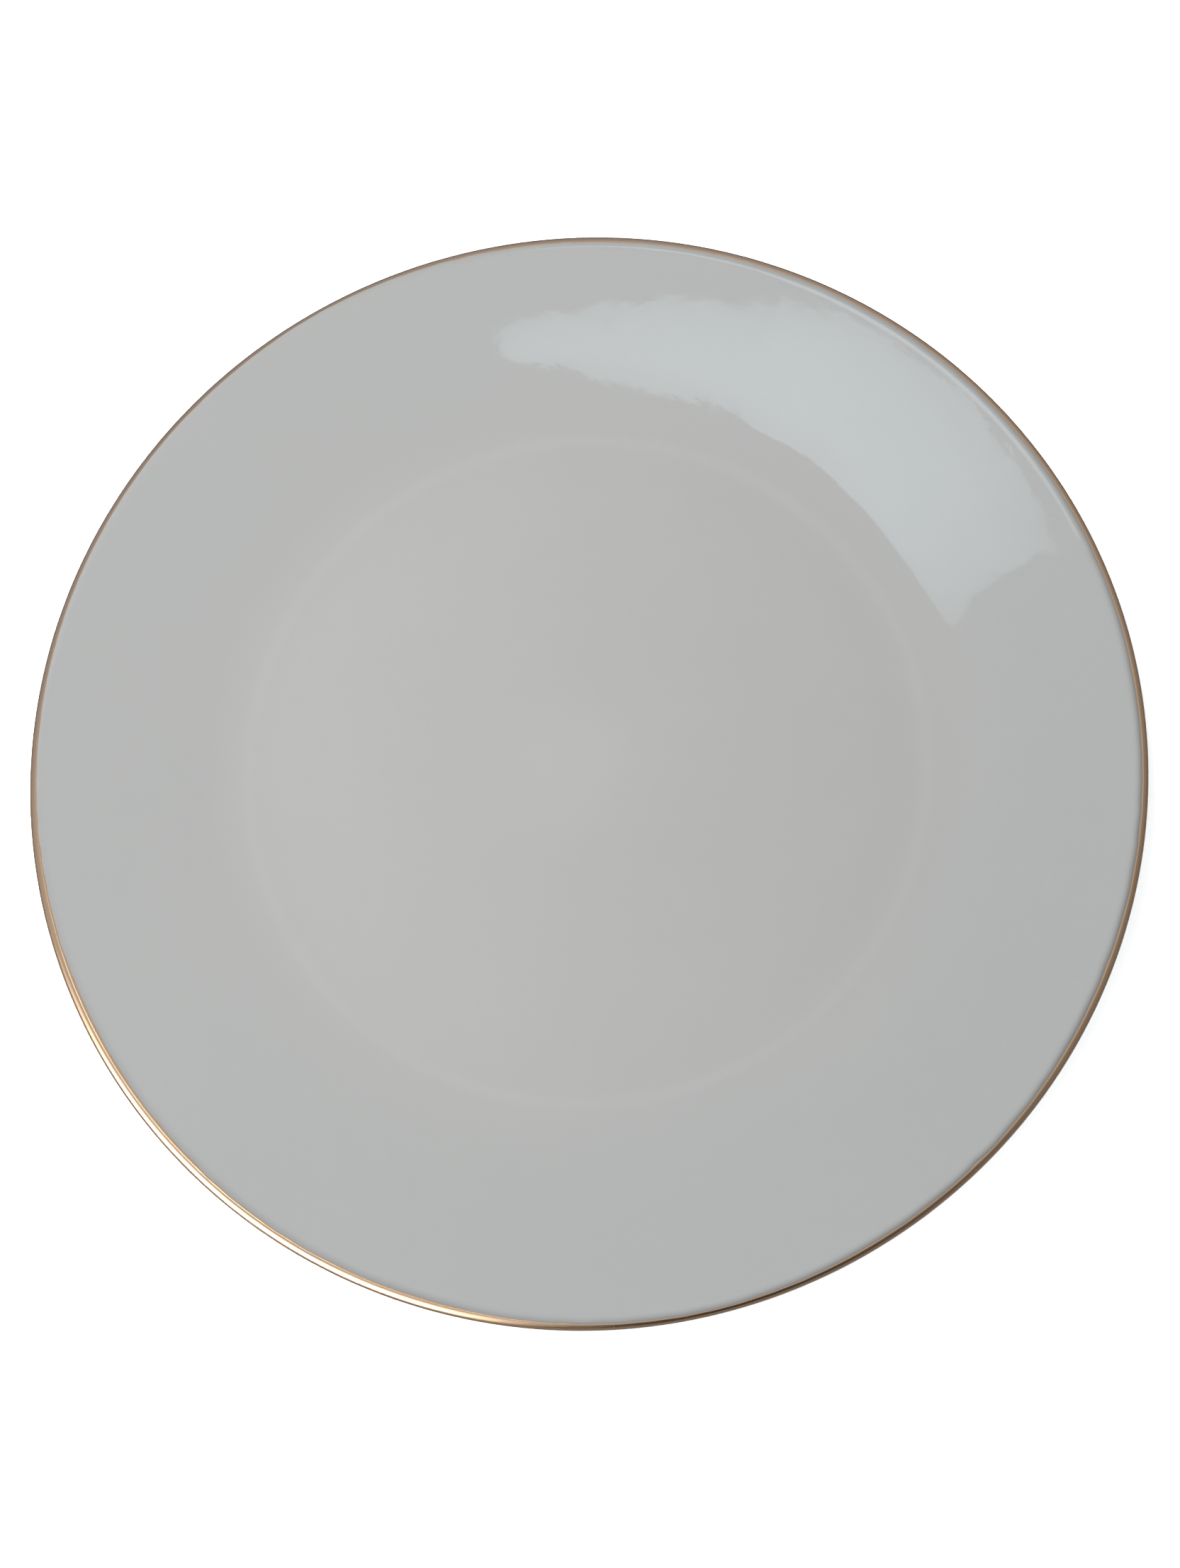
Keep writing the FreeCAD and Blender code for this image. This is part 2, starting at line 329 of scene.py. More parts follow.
def travelled(points):
    """Distance run along the points, from 0."""
    return np.concatenate([[0], np.cumsum(np.linalg.norm(np.diff(points, axis=0), axis=1))])


def waves(count, shortest, longest, seed):
    """Wave vectors in turns per metre and phases of a slow uneven surface, from a seed."""
    dice = np.random.default_rng(seed)
    length = shortest * (longest / shortest) ** dice.random(count)
    way = dice.random(count) * 2 * math.pi
    vectors = np.stack([np.cos(way), np.sin(way)], 1) / length[:, None]
    return vectors, dice.random(count) * 2 * math.pi


def uneven(x, y, vectors, phases):
    """Sum of cos(2 pi (k . p) + phase) over the waves, scaled to a standard height of about 1."""
    total = np.zeros_like(x)
    for (kx, ky), phase in zip(vectors, phases):
        total += np.cos(2 * math.pi * (kx * x + ky * y) + phase)
    return total * math.sqrt(2 / len(phases))


WARP_FROM = 0.6  # share of the radius where the sag starts, outside the foot
WARP_WAVES = ((2, 0.6, 0.7), (3, 0.3, 2.1), (5, 0.15, 4.0))  # waves round, height, phase


def firing_warp(radius, turn, amount):
    """Sag of the fired side: amount times s squared times (slow waves round the plate - 1).

    s runs from 0 at WARP_FROM to 1 at the lip. The waves stay below 1, so the lip only sinks.
    """
    share = np.clip((radius / BODY_HIGH.x - WARP_FROM) / (1 - WARP_FROM), 0, 1) ** 2
    round_waves = sum(height * np.cos(count * turn + phase) for count, height, phase in WARP_WAVES)
    return amount * share * (round_waves - 1.0)


# -------- meshes


ON_AXIS = 1e-7  # metres; a ring smaller than this is one point


def turned_mesh(name, rings, closed):
    """A surface of rings round the plate's axis, rows x turns x 3; a ring on the axis is one point.

    Point (i, j) is ring i at turn 2 pi j / turns. closed joins the last ring to the first.
    """
    rows, turns, _ = rings.shape
    on_axis = np.hypot(rings[..., 0], rings[..., 1]).max(axis=1) < ON_AXIS
    index = np.zeros((rows, turns), int)
    vertices, used = [], 0
    for row in range(rows):
        if on_axis[row]:
            index[row] = used
            vertices.append(rings[row, :1])
            used += 1
        else:
            index[row] = np.arange(used, used + turns)
            vertices.append(rings[row])
            used += turns
    after = np.roll(index, -1, axis=1)
    faces = []
    for row in range(rows if closed else rows - 1):
        other = (row + 1) % rows
        if on_axis[row] and on_axis[other]:
            continue
        if on_axis[row]:
            strip = np.stack([index[row], after[other], index[other]], 1)
        elif on_axis[other]:
            strip = np.stack([index[row], after[row], index[other]], 1)
        else:
            strip = np.stack([index[row], after[row], after[other], index[other]], 1)
        faces.extend(strip.tolist())
    mesh = bpy.data.meshes.new(name)
    mesh.from_pydata(np.concatenate(vertices).tolist(), [], faces)
    mesh.polygons.foreach_set("use_smooth", np.ones(len(mesh.polygons), bool))
    mesh.update()
    return mesh


def add_piece(name, mesh, material, slot, *nodes):
    """Shows a mesh in place of CAD nodes, riding on the plate."""
    piece = bpy.data.objects.new(name, mesh)
    bpy.context.scene.collection.objects.link(piece)
    mesh.materials.append(material)
    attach(piece, "root")
    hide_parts(*nodes)


def set_values(mesh, name, values):
    """Stores one number at each of the mesh's points, in their order."""
    values = np.asarray(values, np.float32).reshape(-1)[:len(mesh.vertices)]
    mesh.attributes.new(name, "FLOAT", "POINT").data.foreach_set("value", values)


def turns_round(count):
    """Equal turns from 0 round the plate: 2 pi j / count."""
    return np.arange(count) * 2 * math.pi / count


def spun(radius, height, turn, warp):
    """Rows x turns of radius and height carried round: (r cos t, r sin t, z + firing warp)."""
    lift = firing_warp(radius, turn, warp)
    return np.stack([radius * np.cos(turn), radius * np.sin(turn), height + lift], -1)


ROW_STEP, ROW_TURN = 0.9 * MM, math.radians(7.5)
WIDE_STEPS = {
    "floor": 2.2 * MM, "underside": 3.0 * MM, "back_side": 1.5 * MM, "back_knuckle": 1.5 * MM}


def trace_run(section, run):
    """trace() with rows ROW_STEP apart, or wider on the stretches that hardly bend."""
    points, normals = [], []
    for name in run:
        p, n = trace(section, [name], WIDE_STEPS.get(name, ROW_STEP), ROW_TURN)
        first = 1 if points else 0
        points.append(p[first:])
        normals.append(n[first:])
    return np.concatenate(points), np.concatenate(normals)


def ramp(value, low, high):
    """0 below low, 1 above high and the smooth cubic 3t^2 - 2t^3 between."""
    share = np.clip((value - low) / (high - low), 0, 1)
    return share * share * (3 - 2 * share)


def round_noise(turn, height, lowest, highest, count, seed):
    """Sum of count cosines, each a whole number of waves round the plate, scaled to the height."""
    dice = np.random.default_rng(seed)
    total = np.zeros_like(turn)
    for waves_round, phase in zip(dice.integers(lowest, highest, count), dice.random(count)):
        total += np.cos(waves_round * turn + 2 * math.pi * phase)
    return height * (total * math.sqrt(2 / count))


RIPPLE_WAVES = 48, 7 * MM, 26 * MM  # how many, the shortest, the longest
RIPPLE_RISE = 1.5 * MM, 4.0 * MM  # the ripple sets in between these heights
UNDERLAP = 0.06 * MM  # how far a skin's inner face lies under the face that it covers
SKIN_TUCK = 0.03 * MM  # how far its edges dip under that face


def skin_rings(points, normals, depth, turn, q, ripple_seed):
    """Rings of a skin over the porcelain: each point moves out along its normal by depth + ripple.

    depth is rows x turns or one number. The ripple is slow waves in plan, none on the foot.
    """
    vectors, phases = waves(*RIPPLE_WAVES, ripple_seed)
    radius, height = points[:, :1], points[:, 1:]
    x, y = radius * np.cos(turn), radius * np.sin(turn)
    rows = ramp(height, *RIPPLE_RISE)
    raised = depth + q.ripple * rows * uneven(x, y, vectors, phases)
    return spun(radius + normals[:, :1] * raised, height + normals[:, 1:] * raised, turn, q.warp)


# -------- shader helpers


class Tree:
    """Adds nodes to one tree and joins them as they are added."""

    def __init__(self, tree):
        self.tree = tree

    def node(self, kind, inputs=None, **settings):
        """Adds a node with its settings and inputs, each a value or another node's output."""
        made = self.tree.nodes.new(kind)
        for name, value in settings.items():
            setattr(made, name, value)
        for name, value in (inputs or {}).items():
            self.put(made.inputs[name], value)
        return made

    def put(self, socket, value):
        """Joins an output to a socket, or sets the socket's own value."""
        if isinstance(value, bpy.types.NodeSocket):
            self.tree.links.new(value, socket)
        else:
            socket.default_value = value

    def math(self, operation, *values, clamp=False):
        """One sum, product or other operation on numbers."""
        made = self.node("ShaderNodeMath", operation=operation, use_clamp=clamp)
        for socket, value in zip(made.inputs, values):
            self.put(socket, value)
        return made.outputs[0]

    def scaled(self, vector, scale):
        """A vector times a scale, axis by axis."""
        return self.node("ShaderNodeMapping", {"Vector": vector, "Scale": scale}).outputs[0]

    def between(self, value, low, high, to_low=0.0, to_high=1.0):
        """A value carried smoothly from low..high to to_low..to_high, and held past either end."""
        return self.node("ShaderNodeMapRange", {
            "Value": value, "From Min": low, "From Max": high, "To Min": to_low, "To Max": to_high,
        }, interpolation_type="SMOOTHSTEP").outputs["Result"]

    def mixed(self, share, first, second):
        """The first colour at share 0 and the second at share 1."""
        made = self.node("ShaderNodeMix", data_type="RGBA")
        self.put(made.inputs["Factor"], share)
        self.put(made.inputs[6], first)
        self.put(made.inputs[7], second)
        return made.outputs[2]

    def noise(self, vector, scale, detail=2.0, roughness=0.5):
        """Soft noise of 0 to 1 round a half."""
        return self.node("ShaderNodeTexNoise", {
            "Vector": vector, "Scale": scale, "Detail": detail, "Roughness": roughness,
        }).outputs["Fac"]


def rgba(colour):
    """A colour as a colour socket takes it."""
    return (*colour, 1.0)


def new_group(name, **numbers):
    """An empty shader node group that takes a vector and the named numbers, and gives a mask."""
    made = bpy.data.node_groups.new(name, "ShaderNodeTree")
    made.interface.new_socket("Vector", in_out="INPUT", socket_type="NodeSocketVector")
    for label, default in numbers.items():
        socket = made.interface.new_socket(label, in_out="INPUT", socket_type="NodeSocketFloat")
        socket.default_value = default
    made.interface.new_socket("Mask", in_out="OUTPUT", socket_type="NodeSocketFloat")
    tree = Tree(made)
    return made, tree, tree.node("NodeGroupInput").outputs, tree.node("NodeGroupOutput").inputs


def specks_group():
    """Rare round specks: 1 inside a cell's dot where the cell's own number is under the share."""
    made, tree, given, result = new_group("Specks", Spacing=0.01, Size=0.1, Share=0.1)
    scale = tree.math("DIVIDE", 1.0, given["Spacing"])
    cells = tree.node("ShaderNodeTexVoronoi", {
        "Vector": given["Vector"], "Scale": scale, "Randomness": 1.0})
    number = tree.node("ShaderNodeSeparateColor", {"Color": cells.outputs["Color"]}).outputs[0]
    wanted = tree.math("LESS_THAN", number, given["Share"])
    reach = tree.math("MULTIPLY", given["Size"], tree.math("ADD", 0.5, number))
    core = tree.math("MULTIPLY", reach, 0.6)
    dot = tree.between(cells.outputs["Distance"], core, reach, 1.0, 0.0)
    tree.put(result["Mask"], tree.math("MULTIPLY", dot, wanted))
    return made


def mottle_group():
    """Slow uneven shading: two sizes of noise added, spread to fill 0 to 1."""
    made, tree, given, result = new_group("Mottling", Patch=0.03)
    scale = tree.math("DIVIDE", 1.0, given["Patch"])
    broad = tree.noise(given["Vector"], scale, 2.0)
    fine = tree.noise(given["Vector"], tree.math("MULTIPLY", scale, 5.3), 3.0)
    both = tree.math("ADD", tree.math("MULTIPLY", broad, 0.7), tree.math("MULTIPLY", fine, 0.3))
    tree.put(result["Mask"], tree.between(both, 0.32, 0.68))
    return made


def hairlines_group():
    """Hairline marks: thin level lines of a stretched noise, broken up by a second noise."""
    made, tree, given, result = new_group("Hairlines", Turn=0.0, Fineness=60.0, Amount=0.3)
    spin = tree.node("ShaderNodeCombineXYZ", {"Z": given["Turn"]}).outputs[0]
    turned = tree.node("ShaderNodeMapping", {
        "Vector": given["Vector"], "Rotation": spin, "Scale": (1.0, 0.12, 1.0)}).outputs[0]
    grain = tree.noise(turned, given["Fineness"], 3.0, 0.6)
    off_line = tree.math("ABSOLUTE", tree.math("SUBTRACT", grain, 0.5))
    line = tree.between(off_line, 0.0, 0.006, 1.0, 0.0)
    broken = tree.noise(given["Vector"], 45.0, 2.0)
    kept = tree.between(broken, 0.52, 0.62)
    marks = tree.math("MULTIPLY", line, kept)
    tree.put(result["Mask"], tree.math("MULTIPLY", marks, given["Amount"]))
    return made


GROUP_MAKERS = {"Specks": specks_group, "Mottling": mottle_group, "Hairlines": hairlines_group}


def use(tree, name, **inputs):
    """Places a shared group, built the first time that it is asked for, and gives its mask."""
    group = bpy.data.node_groups.get(name) or GROUP_MAKERS[name]()
    made = tree.node("ShaderNodeGroup", node_tree=group)
    for label, value in inputs.items():
        tree.put(made.inputs[label], value)
    return made.outputs["Mask"]


def new_material(name, roughness, ior):
    """A material with its Principled shader, ready for its pattern."""
    made = bpy.data.materials.new(name)
    made.use_nodes = True
    tree = Tree(made.node_tree)
    shader = made.node_tree.nodes["Principled BSDF"]
    shader.inputs["Roughness"].default_value = roughness
    shader.inputs["IOR"].default_value = ior
    place = tree.node("ShaderNodeTexCoord").outputs["Object"]
    return made, tree, shader, place


def finish(tree, shader, colour, rough, height, strength, distance):
    """Feeds the shader its colour, its roughness, and its normal from a bump of that height."""
    bump = tree.node(
        "ShaderNodeBump", {"Height": height, "Strength": strength, "Distance": distance})
    tree.put(shader.inputs["Base Color"], colour)
    tree.put(shader.inputs["Roughness"], rough)
    tree.put(shader.inputs["Normal"], bump.outputs["Normal"])


# The painted shade towards the rim sets in between these radii.
SHADE_RISE = 60 * MM, 118 * MM  # the china's shade sets in between these radii
KILN_SPECK = (0.20, 0.17, 0.13, 1.0)
# Colour of the painted shade laid on the face beside the gold.
PAINTED_SHADE_BY_GOLD = (0.26, 0.25, 0.235, 1.0)
FOOT_STAIN = 0.74, 0.68, 0.60
FOOT_GRIT = (0.23, 0.20, 0.17, 1.0)
RUBBED_SPOT = (0.42, 0.30, 0.19, 1.0)


def china_material(colours):
    """White china under clear glaze: faint mottling, rare specks, fine marks, painted shade towards
    the rim and beside the gold.
    """
    made, tree, shader, place = new_material("white_glazed_china", 0.06, 1.5)
    mottle = use(tree, "Mottling", Vector=place, Patch=0.035)
    specks = use(tree, "Specks", Vector=place, Spacing=0.016, Size=0.010, Share=0.12)
    flat = tree.scaled(place, (1.0, 1.0, 0.0))
    radius = tree.node("ShaderNodeVectorMath", {0: flat}, operation="LENGTH").outputs["Value"]
    # Painted shade: the china darkens and cools towards the rim, on top of its random mottling.
    painted_rim_shade = tree.math("MULTIPLY", tree.between(radius, *SHADE_RISE), 0.7)
    shade = tree.math("ADD", painted_rim_shade, tree.math("MULTIPLY", mottle, 0.22))
    colour = tree.mixed(shade, rgba(colours.china), rgba(colours.china_rim_shade_and_mottle))
    colour = tree.mixed(tree.math("MULTIPLY", specks, 0.55), colour, KILN_SPECK)
    # Painted shade: the face beside the gold is darkened in its colour, deeper on one side of the
    # plate.
    beside = tree.node("ShaderNodeAttribute", attribute_name="painted_shade_by_gold").outputs["Fac"]
    painted_gold_shade = tree.math("MULTIPLY", tree.math("POWER", beside, 1.6), 0.8)
    colour = tree.mixed(painted_gold_shade, colour, PAINTED_SHADE_BY_GOLD)
    one_way = use(tree, "Hairlines", Vector=place, Turn=0.5, Fineness=70.0, Amount=0.5)
    other_way = use(tree, "Hairlines", Vector=place, Turn=2.2, Fineness=55.0, Amount=0.5)
    marks = tree.math("MULTIPLY", tree.math("ADD", one_way, other_way), 0.10)
    rough = tree.math("ADD", marks, tree.between(mottle, 0, 1, 0.026, 0.044))
    finish(tree, shader, colour, rough, tree.noise(place, 420.0, 2.0), 0.25, 0.00002)
    return made


def bisque_material(colours):
    """Ground bare porcelain: cream, matte, grained, with darker rubbed patches."""
    made, tree, shader, place = new_material("ground_bare_porcelain", 0.62, 1.5)
    mottle = use(tree, "Mottling", Vector=place, Patch=0.012)
    specks = use(tree, "Specks", Vector=place, Spacing=0.0016, Size=0.28, Share=0.16)
    stained = [part * stain for part, stain in zip(colours.bisque, FOOT_STAIN)]
    colour = tree.mixed(tree.math("MULTIPLY", mottle, 0.6), rgba(colours.bisque), rgba(stained))
    colour = tree.mixed(tree.math("MULTIPLY", specks, 0.5), colour, FOOT_GRIT)
    rough = tree.between(mottle, 0, 1, 0.55, 0.72)
    finish(tree, shader, colour, rough, tree.noise(place, 2600.0, 3.0, 0.6), 0.6, 0.00005)
    return made


def gold_material(colours):
    """Bright fired gold: brushed bands along the lip, thin brown edges and small rubbed spots."""
    made, tree, shader, place = new_material("bright_gold", 0.16, 1.4)
    across = tree.node("ShaderNodeAttribute", attribute_name="across").outputs["Fac"]
    along = tree.scaled(place, (28.0, 28.0, 0.0))
    lane = tree.node("ShaderNodeCombineXYZ", {"Z": tree.math("MULTIPLY", across, 7.0)}).outputs[0]
    where = tree.node("ShaderNodeVectorMath", {0: along, 1: lane}, operation="ADD").outputs[0]
    bands = tree.noise(where, 1.0, 3.0, 0.6)
    mottle = use(tree, "Mottling", Vector=place, Patch=0.004)
    specks = use(tree, "Specks", Vector=place, Spacing=0.0022, Size=0.10, Share=0.10)
    off_middle = tree.math("SUBTRACT", tree.math("MULTIPLY", across, 2.0), 1.0)
    to_edge = tree.math("SUBTRACT", 1.0, tree.math("ABSOLUTE", off_middle))
    waver = tree.math("MULTIPLY", tree.math("SUBTRACT", mottle, 0.5), 0.03)
    thin = tree.between(tree.math("ADD", to_edge, waver), 0.01, 0.07, 1.0, 0.0)
    streaks = tree.math("MULTIPLY", tree.between(bands, 0.5, 0.7), 0.18)
    thinner = tree.math("ADD", tree.math("MULTIPLY", thin, 0.75), streaks, clamp=True)
    colour = tree.mixed(thinner, rgba(colours.gold), rgba(colours.gold_thin))
    colour = tree.mixed(tree.math("MULTIPLY", specks, 0.6), colour, RUBBED_SPOT)
    metal = tree.math("SUBTRACT", 1.0, tree.math("MULTIPLY", specks, 0.4))
    tree.put(shader.inputs["Metallic"], metal)
    marks = use(tree, "Hairlines", Vector=place, Turn=1.1, Fineness=220.0, Amount=0.6)
    marks = tree.math("MULTIPLY", marks, 0.12)
    rough = tree.math("ADD", tree.between(bands, 0.35, 0.65, 0.17, 0.27), marks)
    finish(tree, shader, colour, rough, bands, 0.5, 0.00001)
    return made


# -------- gold edges, for glaze and gold


# How wide the hand-laid gold is on the face, every 15 degrees from +X.
GOLD_FACE_TURNS = np.radians(np.arange(0, 360, 15))
GOLD_FACE_WIDTHS = np.array([
    2.07, 2.05, 2.05, 2.08, 2.34, 2.49, 2.52, 2.40, 2.05, 2.24, 2.23, 2.17,
    2.40, 2.78, 3.02, 2.93, 2.60, 2.46, 1.83, 1.50, 1.77, 1.80, 2.00, 1.95]) * MM
# Each: height, fewest and most waves round the plate, how many of them, seed.
FACE_WOBBLE = 0.035 * MM, 20, 130, 24, 11
BACK_WANDER = 0.10 * MM, 3, 24, 10, 12
BACK_WOBBLE = 0.03 * MM, 30, 150, 20, 13
# Where the stroke meets its start, and where the brush was set down again.
BRUSH_JOIN, JOIN_SPREAD, JOIN_BULGE = math.radians(-47.7), math.radians(0.7), 0.22 * MM
BRUSH_STEP, STEP_IN, STEP_OUT = math.radians(-109.3), math.radians(0.5), math.radians(9)
STEP_RISE = 0.12 * MM


def turns_past(turn, mark):
    """How far round a turn lies past a mark, from half a round before it to half a round after."""
    return (turn - mark + math.pi) % (2 * math.pi) - math.pi


def gold_widths(turn, q):
    """Widths of the gold on face and back, in from the lip's outermost edge, at each turn.

    The face's width runs straight from row to row of its table, plus small wobbles, a bell-shaped
    bulge at the join of the brush stroke, and a step that rises at once and dies out slowly.
    """
    face = np.interp(turn % (2 * math.pi), GOLD_FACE_TURNS, GOLD_FACE_WIDTHS, period=2 * math.pi)
    face = face * (q.gold_face_width / GOLD_FACE_WIDTHS.mean())
    face += round_noise(turn, *FACE_WOBBLE)
    past_step = turns_past(turn, BRUSH_STEP)
    face += JOIN_BULGE * np.exp(-((turns_past(turn, BRUSH_JOIN) / JOIN_SPREAD) ** 2))
    face += STEP_RISE * ramp(past_step, 0, STEP_IN) * ramp(-past_step, -STEP_OUT, 0)
    back = q.gold_back_width + round_noise(turn, *BACK_WANDER)
    back += round_noise(turn, *BACK_WOBBLE)
    return face, back


# -------- operators


BODY_TURNS, GLAZE_TURNS, GOLD_TURNS = 224, 432, 1440  # points in a ring of each
WORN_WAVES = 40, 1.2 * MM, 6 * MM, 21  # how many, the shortest, the longest, seed
WORN_HEIGHT = 0.010 * MM
WORN_OFFSET = 3.1  # wave heights; keeps the worn face inside the ground one
WORN_TOP, WORN_FULL = 1.0 * MM, 0.1 * MM  # worn below the first height, fully below the second
BARE_LINE, GLAZE_EDGE = 0.25 * MM, 0.7 * MM  # where the glaze starts, how wide its thin edge is
BARE_WANDER = 0.12 * MM, 5, 60, 18  # height, fewest and most waves round, how many
POOL_PLACE, POOL_SPREAD = 3.2 * MM, 1.6 * MM
INNER_ROWS = 4  # the hidden face of a coat has every fourth row
COAT_SEEDS, WELL_SEEDS = (31, 32), (33, 34)  # edge, ripple
SHADOW_REACH = 1.5 * MM
SHADOW_MEAN, SHADOW_SWING, SHADOW_TURN = 0.62, 0.38, math.radians(30)
GOLD_ROW_STEP, GOLD_ROW_TURN, GOLD_ROWS = 0.25 * MM, math.radians(3), 33
GOLD_EDGE = 0.28 * MM  # how wide the film's thin edges are


class PLATE_OT_add_porcelain(bpy.types.Operator):
    """Adds the porcelain body: one turned shell from the underside round the lip to the floor"""

    bl_idname = "plate.add_porcelain"
    bl_label = "Porcelain Body"

    def execute(self, context):
        p, q = context.scene.plate_shape, context.scene.plate_skins
        points, normals = trace_run(half_section(p), WHOLE_RUN)
        radius, height = points[:, :1], points[:, 1:]
        turn = turns_round(BODY_TURNS)
        vectors, phases = waves(*WORN_WAVES)
        on_foot = ramp(-height, -WORN_TOP, -WORN_FULL)
        grain = uneven(radius * np.cos(turn), radius * np.sin(turn), vectors, phases)
        worn = WORN_HEIGHT * on_foot * (grain - WORN_OFFSET)
        rings = spun(
            radius + normals[:, :1] * worn, height + normals[:, 1:] * worn, turn, q.warp)
        mesh = turned_mesh("porcelain_body_shown", rings, False)
        material = bisque_material(context.scene.plate_colours)
        add_piece("china_body", mesh, material, "bisque", "porcelain_body")
        return {"FINISHED"}


class PLATE_OT_add_glaze(bpy.types.Operator):
    """Adds the two glazed skins: one over face and back, one inside the foot"""

    bl_idname = "plate.add_glaze"
    bl_label = "Glaze Coats"

    def coat_depth(self, points, turn, q, seed):
        """Thickness of a coat along rows that start at the bare foot.

        It rises by a smooth ramp from the wavering bare line to the even thickness, plus a
        bell-shaped pool in the corner above the foot.
        """
        run = travelled(points)[:, None]
        bare = BARE_LINE + round_noise(turn, *BARE_WANDER, seed)
        cover = ramp(run, bare, bare + GLAZE_EDGE)
        pool = q.glaze_sag * np.exp(-(((run - POOL_PLACE) / POOL_SPREAD) ** 2))
        return (q.glaze_thickness + pool + SKIN_TUCK) * cover - SKIN_TUCK

    def coat_mesh(self, name, points, normals, depth, turn, q, seed):
        """A closed skin: the outer rings, then the inner ones just under the porcelain's face."""
        outer = skin_rings(points, normals, depth, turn, q, seed)
        last = len(points) - 1
        rows = np.unique(np.append(np.arange(0, last + 1, INNER_ROWS), last))[::-1]
        inner = skin_rings(points[rows], normals[rows], -UNDERLAP, turn, q, seed)
        return turned_mesh(name, np.concatenate([outer, inner]), True)

    def painted_shade_by_gold(self, points, normals, turn, q):
        """Painted shadow on the face beside the gold: 1 at its edge, 0 at the reach, deeper on one
        side.
        """
        face_width, _ = gold_widths(turn, q)
        from_gold = (GLAZE_HIGH.x - face_width) - points[:, :1]
        on_face = (normals[:, 1:] > 0).astype(float)
        shaded = SHADOW_MEAN + SHADOW_SWING * np.cos(turn + SHADOW_TURN)
        return on_face * shaded * np.clip(1 - from_gold / SHADOW_REACH, 0, 1)

    def execute(self, context):
        p, q = context.scene.plate_shape, context.scene.plate_skins
        section = half_section(p)
        material = china_material(context.scene.plate_colours)
        turn = turns_round(GLAZE_TURNS)

        edge_seed, ripple_seed = COAT_SEEDS
        points, normals = trace_run(section, OUTER_RUN)
        depth = self.coat_depth(points, turn, q, edge_seed)
        mesh = self.coat_mesh("china_glaze_mesh", points, normals, depth, turn, q, ripple_seed)
        values = np.zeros(len(mesh.vertices))
        # The outer rings come first, and the last of them, on the axis, is one point.
        on_rings = (len(points) - 1) * GLAZE_TURNS
        values[:on_rings] = self.painted_shade_by_gold(points, normals, turn, q)[:-1].reshape(-1)
        # Stores the painted shade beside the gold at each point.
        set_values(mesh, "painted_shade_by_gold", values)
        add_piece("china_glaze", mesh, material, "glaze", "glaze_coat")

        edge_seed, ripple_seed = WELL_SEEDS
        points, normals = trace_run(section, WELL_RUN)
        depth = self.coat_depth(points[::-1], turn, q, edge_seed)[::-1]
        mesh = self.coat_mesh("foot_well_glaze_mesh", points, normals, depth, turn, q, ripple_seed)
        add_piece("foot_well_skin", mesh, material, "glaze", "foot_well_glaze")
        return {"FINISHED"}


class PLATE_OT_add_gold(bpy.types.Operator):
    """Adds the gold line: a thin closed film wrapped over the glazed lip"""

    bl_idname = "plate.add_gold"
    bl_label = "Gold Line"

    def execute(self, context):
        p, q = context.scene.plate_shape, context.scene.plate_skins
        points, normals = trace(half_section(p), LIP_RUN, GOLD_ROW_STEP, GOLD_ROW_TURN)
        # Where the outermost edge stands upright, its top counts as the outermost point.
        outermost = int(np.argmax(points[:, 0] + 1e-6 * points[:, 1]))
        turn = turns_round(GOLD_TURNS)
        face_width, back_width = gold_widths(turn, q)
        run = travelled(points)
        radius = points[:, 0] + normals[:, 0] * q.glaze_thickness
        edge = radius.max()
        face_end = np.interp(face_width, edge - radius[outermost:], run[outermost:])
        back_end = np.interp(
            back_width, (edge - radius[:outermost + 1])[::-1], run[:outermost + 1][::-1])
        # Rows from the back end to the face end, closer together near both.
        share = np.linspace(0, 1, GOLD_ROWS)
        share = (share + 0.5 * (3 * share**2 - 2 * share**3)) / 1.5
        place = back_end + share[:, None] * (face_end - back_end)
        in_from_end = np.minimum(place - back_end, face_end - place)
        film = (q.gold_thickness + SKIN_TUCK) * ramp(in_from_end, 0, GOLD_EDGE) - SKIN_TUCK
        radius, height, way_out, way_up = (
            np.interp(place, run, column) for column in (*points.T, *normals.T))
        _, coat_ripple_seed = COAT_SEEDS
        vectors, phases = waves(*RIPPLE_WAVES, coat_ripple_seed)
        ripple = uneven(radius * np.cos(turn), radius * np.sin(turn), vectors, phases)
        out = q.glaze_thickness + q.ripple * ripple

        def ring_at(depth):
            """The rows moved out along their normals by depth, then spun."""
            return spun(radius + way_out * depth, height + way_up * depth, turn, q.warp)

        under = slice(None, None, -2)  # every second row, backwards
        rings = np.concatenate([ring_at(out + film), ring_at(out - UNDERLAP)[under]])
        mesh = turned_mesh("gold_line_mesh", rings, True)
        across = np.concatenate([share, share[under]])
        set_values(mesh, "across", np.repeat(across, len(turn)))
        material = gold_material(context.scene.plate_colours)
        add_piece("gold_line", mesh, material, "gold", "gold_rim_line")
        return {"FINISHED"}


# The mirrored room's brightness near the floor, turn by turn in degrees from +X.
MIRRORED_TURNS = np.radians([
    0, 15, 30, 45, 60, 75, 90, 105, 120, 135, 150, 165, 180, 190, 198, 207, 246, 252, 256, 262,
    285, 300, 315, 330, 345])
MIRRORED_GLOW = np.array([
    0.24, 0.27, 0.30, 0.33, 0.36, 0.36, 0.38, 0.38, 0.36, 0.36, 0.38, 0.38, 0.42, 0.50, 1.5, 4.9,
    4.9, 2.2, 0.45, 0.08, 0.04, 0.06, 0.13, 0.21, 0.24])
OVERHEAD_RISE = math.radians(30), math.radians(48)  # overhead glow sets in between these heights
COOL_TURN, COOL_RISE = math.radians(120), (0.2, 0.9)  # cool side, and its reach in cosines
COOL_TINT = (0.80, 0.97, 1.30, 1.0)
WHITE = (1.0, 1.0, 1.0)
DOME_TURNS, DOME_ROWS = 144, 46
